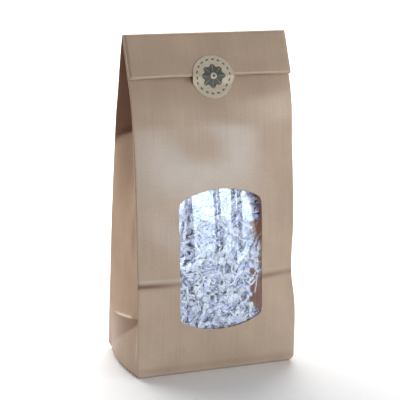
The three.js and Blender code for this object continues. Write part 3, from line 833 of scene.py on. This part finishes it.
def makePackedMiddle():
    # a closed lumpy block: rings from the base up to the fill height, drawn in to a point at the top
    straight, domed = packed["rows"], packed["topRows"]
    z = np.linspace(packed["bottom"], packed["side"], straight)
    z = np.concatenate([z, np.full(domed, packed["top"])])
    shrink = np.concatenate([np.ones(straight), np.linspace(*packed["topShrink"], domed)])[:, None]
    across = np.linspace(-1, 1, packed["columns"])
    half = (halfWidth - packed["sideClear"] - gussetFold(0.5, z))[:, None]
    lumpX = across[None, :] * packed["lumpSpread"]
    lump = waves(lumpX, z[:, None], packed["seed"], packed["lumpCount"], packed["lumpLengths"])
    frontX = across[None, :] * half * np.where(across > 0, packed["frontRight"], 1)[None, :]
    backX = -across[None, :] * half * np.where(across < 0, packed["backRight"], 1)[None, :]
    frontY = frontPoint(frontX, z[:, None])[1] + packed["frontClear"] + packed["frontLump"] * lump
    backY = backPoint(backX, z[:, None])[1] - packed["backClear"] - packed["backLump"] * lump
    x = np.concatenate([frontX, backX], 1) * shrink
    y = np.concatenate([frontY, backY], 1) * shrink
    up = np.broadcast_to(z[:, None] + bag["lap"], x.shape) + np.concatenate([lump, lump], 1) * (shrink < 1)
    count = x.shape[1]
    points = np.stack([x, y, up], -1).reshape(-1, 3)
    bottom, top = len(points), len(points) + 1
    faces = (
        gridFaces(len(z), count, closed=True).tolist()
        + fanFaces(np.arange(count), bottom, flip=True).tolist()
        + fanFaces(bottom - count + np.arange(count), top).tolist()
    )
    points = np.concatenate([points, [[0, 0, packed["bottom"]], [0, 0, packed["peak"]]]])
    piece = addMesh("packedMiddle", points, faces)
    piece.data.materials.append(shredMaterial("shadedShred", packed))
    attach(piece, "root")
    print("packed middle:", len(points), "points")


def shredMaterial(name, colours, toneName=None):
    # each strip has a tone of its own, and the packed middle takes a cloudy one
    look = shredLook
    material, tree = newMaterial(name)
    if toneName:
        tone = attribute(tree, toneName)
    else:
        tone = noise(tree, objectPlace(tree), look["cloudScale"], 2)
    paper = ramp(tree, tone, [(look["darkPlace"], colours["dark"]), (look["lightPlace"], colours["light"])])
    setSurface(tree, "BsdfPrincipled", {"Base Color": paper, "Roughness": look["roughness"]})
    return material


# The label: a disc that lies on the flap and bends to the wall below it, with a generic print

label = dict(
    radius=15.3, below=0.8, bridge=0.9, settle=6.5, lift=0.32, thickness=0.12, rings=64, spokes=192,
    fibreScale=(900, 900, 300), fibreTone=[(0.3, (0.45, 0.37, 0.27)), (0.7, (0.55, 0.46, 0.35))],
    roughness=0.6, ink=(0.075, 0.075, 0.062),
    # the print's sizes: where a pair is given, the ink fades from one to the other
    petals=8, petalEdge=8.0, petalDepth=0.9, petalSoft=0.2, rosetteHole=(2.1, 2.5), heart=3.4,
    vein=(0.34, 0.55), eye=(0.8, 1.1), dashes=18, dashRing=12.2, dashHalf=(0.4, 0.65), dashSoft=0.25,
)


def labelPoint(x, reach):
    # straight on from the flap for the bridge's length, then a smooth blend from that line to the wall
    straight = np.minimum(reach, label["bridge"])
    face = middleY(foldStart) + stack / 2 + bag["paper"] / 2 + label["lift"]
    onFlap = [np.full_like(x, value) for value in (face, foldStart, foldTurn)]
    _, y, z = placeStack(x, *onFlap, bag["flap"] + straight)
    rest = reach - straight
    z = z - bag["lap"] - rest
    onLine = y - rest * math.tan(flapLean)
    onWall = frontPoint(x, z)[1] - bag["paper"] / 2 - label["lift"]
    return np.stack([x, mix(onLine, onWall, smooth(rest, 0, label["settle"])), z + bag["lap"]], -1)


def labelInk(r, a):
    # 1 on a dark rosette with a light ring round its eye, and on a ring of short dashes: the petals' edge is
    # a cosine of the angle, and the veins and the gaps between the dashes come from sines of it
    edge = label["petalEdge"] + label["petalDepth"] * np.cos(label["petals"] * a)
    rosette = smooth(edge - r, -label["petalSoft"], label["petalSoft"]) * smooth(r, *label["rosetteHole"])
    veins = smooth(np.abs(np.sin(label["petals"] / 2 * a)) * r, *label["vein"])
    dashes = 1 - smooth(np.abs(r - label["dashRing"]), *label["dashHalf"])
    dashes = dashes * smooth(np.sin(label["dashes"] * a), 0, label["dashSoft"])
    eye = 1 - smooth(r, *label["eye"])
    return np.clip(rosette * np.clip(veins + (r < label["heart"]), 0, 1) + dashes + eye, 0, 1)


def makeLabel():
    rings, spokes = label["rings"], label["spokes"]
    r = np.linspace(0, label["radius"], rings + 1)[1:, None]
    a = np.linspace(0, 2 * math.pi, spokes, endpoint=False)[None, :]
    face = labelPoint(r * np.cos(a), label["below"] - r * np.sin(a)).reshape(-1, 3)
    middle = labelPoint(np.zeros(1), np.full(1, label["below"]))
    faces = (
        gridFaces(rings, spokes, closed=True).tolist()
        + fanFaces(np.arange(spokes), rings * spokes).tolist()
    )
    piece = addMesh("roundLabel", np.concatenate([face, middle]), faces)
    addValues(piece, "ink", np.append(labelInk(r, a).ravel(), 1.0))
    addWall(piece, label["thickness"])
    material, tree = newMaterial("labelPaper")
    paper = ramp(tree, noise(tree, objectPlace(tree), label["fibreScale"], 3), label["fibreTone"])
    printed = mixColour(tree, paper, label["ink"], attribute(tree, "ink"))
    setSurface(tree, "BsdfPrincipled", {"Base Color": printed, "Roughness": label["roughness"]})
    piece.data.materials.append(material)
    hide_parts("round_label")
    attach(piece, "root")
    print("label:", rings * spokes + 1, "points")


# Camera, floor and lights

# degrees, millimetres, and the focal length in pixels of an image that is 400 pixels wide
camera = dict(
    azimuth=-21.01, elevation=14.22, roll=0.96, distance=938, aimSide=-1.89, aimHeight=117.93,
    focal=1301, imageWidth=400, sensor=36,
)
floorLook = dict(reach=3000, colour=(0.93, 0.93, 0.93), roughness=0.8)

# soft boxes: a place is degrees round from the front, degrees up and metres away. The two sheen boxes are
# mirrored in the paper and the film, and floorBox shines straight down on the floor behind the bag.
lights = dict(
    sheenBox=dict(place=(15.8, 4.2, 1.7), size=(0.9, 0.18), bright=12.2, colour=(0.70, 0.88, 1)),
    lowSheenBox=dict(place=(15.8, -3.2, 1.7), size=(0.9, 0.2), bright=4.6, colour=(0.74, 0.9, 1)),
    frontBox=dict(place=(50, 20, 1.8), size=(1.1, 0.7), bright=4, colour=(1, 0.97, 0.94)),
    sideBox=dict(place=(-100, 8, 1.6), size=(0.9, 0.9), bright=0.6, colour=(1, 0.94, 0.87)),
    rimBox=dict(place=(-153, 9, 1.6), size=(0.5, 0.3), bright=1.2),
    floorBox=dict(place=(180, 42, 1.8), size=(3.0, 1.4), bright=6.5, straightDown=True),
)
aimHeight = 0.12  # the soft boxes face this height of the bag, in metres

# brightness of the surroundings: it grows smoothly from front to back, and the left side is dimmer
room = dict(front=0.36, back=0.6, left=0.3, alongY=(0.05, 0.75), alongX=(-0.3, 0.12))


def direction(azimuth, elevation):
    # a unit vector, from degrees round from the front (-Y) and up
    turn, rise = math.radians(azimuth), math.radians(elevation)
    return Vector((math.sin(turn) * math.cos(rise), -math.cos(turn) * math.cos(rise), math.sin(rise)))


def makeCamera():
    back = direction(camera["azimuth"], camera["elevation"])
    right = (-back).cross(Vector((0, 0, 1))).normalized()
    up = right.cross(-back)
    aim = right * camera["aimSide"] + Vector((0, 0, camera["aimHeight"]))
    roll = math.radians(camera["roll"])
    across = math.cos(roll) * right + math.sin(roll) * up
    above = -math.sin(roll) * right + math.cos(roll) * up
    data = bpy.data.cameras.new("camera")
    data.sensor_width = camera["sensor"]
    data.lens = camera["focal"] / camera["imageWidth"] * camera["sensor"]
    eye = bpy.data.objects.new("camera", data)
    turn = Matrix((across, above, back)).transposed().to_4x4()
    eye.matrix_world = Matrix.Translation((aim + back * camera["distance"]) * mm) @ turn
    bpy.context.scene.collection.objects.link(eye)
    bpy.context.scene.camera = eye
    print("camera set")


def makeFloor():
    corners = np.array([[-1, -1, 0], [1, -1, 0], [1, 1, 0], [-1, 1, 0]]) * floorLook["reach"]
    floor = addMesh("floor", corners, [[0, 1, 2, 3]])
    material, tree = newMaterial("paleFloor")
    finish = {"Base Color": floorLook["colour"], "Roughness": floorLook["roughness"]}
    setSurface(tree, "BsdfPrincipled", finish)
    floor.data.materials.append(material)
    print("floor made")


def makeLight(name, place, size, bright, colour=(1, 1, 1), straightDown=False):
    # a soft box that faces the bag; its power follows from its area
    azimuth, elevation, distance = place
    away = direction(azimuth, elevation)
    data = bpy.data.lights.new(name, "AREA")
    data.shape = "RECTANGLE"
    data.size, data.size_y = size
    data.energy = bright * math.pi * size[0] * size[1]
    data.color = colour
    lamp = bpy.data.objects.new(name, data)
    lamp.location = Vector((0, 0, aimHeight)) + away * distance
    if not straightDown:
        lamp.rotation_euler = away.to_track_quat("Z", "Y").to_euler()
    bpy.context.scene.collection.objects.link(lamp)


def makeRoom():
    for name, values in lights.items():
        makeLight(name, **values)
    world = bpy.data.worlds.new("world")
    world.use_nodes = True
    tree = world.node_tree
    where = addNode(tree, "TexCoord").outputs["Generated"]
    axes = addNode(tree, "SeparateXYZ", {0: where}).outputs
    depth = remap(tree, axes["Y"], room["alongY"], (room["front"], room["back"]), "SMOOTHSTEP")
    side = remap(tree, axes["X"], room["alongX"], (room["left"], 1), "SMOOTHSTEP")
    background = tree.nodes["Background"]
    background.inputs["Color"].default_value = (1, 1, 1, 1)
    tree.links.new(multiply(tree, depth, side), background.inputs["Strength"])
    bpy.context.scene.world = world
    bpy.context.scene.view_settings.view_transform = "Standard"
    print("lights:", len(lights))


makeCamera()
makeFloor()
makeRoom()
makeBag()
makeBaseLap()
makeFilm()
makeShreds()
makePackedMiddle()
makeLabel()
print("all pieces made")
